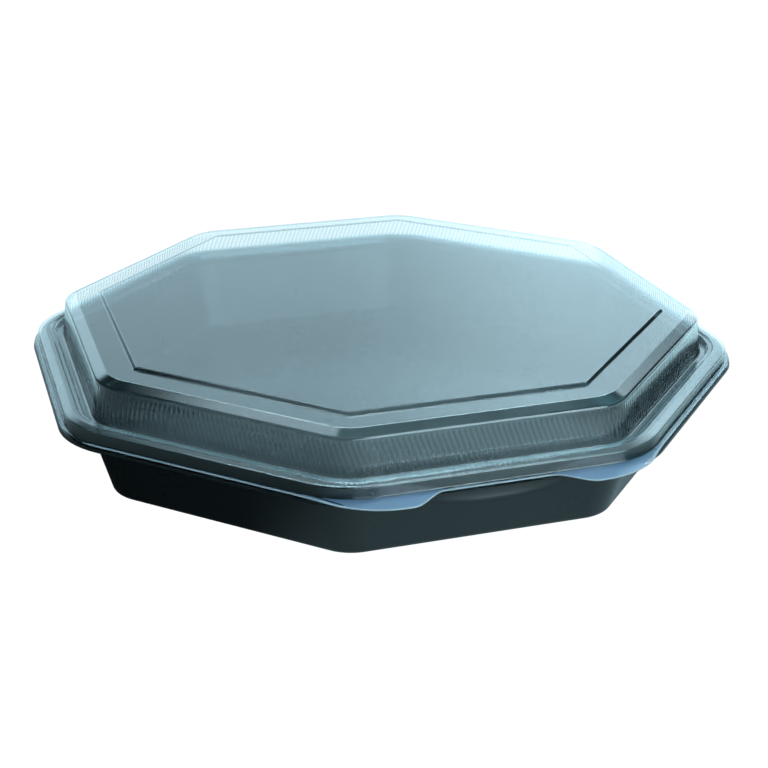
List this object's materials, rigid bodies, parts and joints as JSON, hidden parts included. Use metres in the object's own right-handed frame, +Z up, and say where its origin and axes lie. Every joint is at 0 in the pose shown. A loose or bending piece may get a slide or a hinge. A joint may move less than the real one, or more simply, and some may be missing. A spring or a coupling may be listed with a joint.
{
  "type": "empty octagonal takeaway tray with clear domed lid",
  "caption": "Empty black octagonal takeaway tray, shut with a clear domed lid whose rim sits over the tray's rim and has lifting tabs.",
  "frame": {"origin": "middle of the octagonal underside, on the surface that the tray stands on", "axes": "+Z up out of the lid; -Y out of the side that has the finger recess and the two lifting tabs; +X to the right when facing that side"},
  "size_m": [0.2688, 0.2768, 0.0489],
  "materials": {
    "black_plastic": "glossy black thermoformed sheet with soft reflections",
    "clear_plastic": "clear thermoformed sheet, faintly blue, with fine upright ribs in the dome's wall"
  },
  "bodies": {
    "root": {"tray": "black_plastic", "lid": "clear_plastic"}
  },
  "joints": []
}
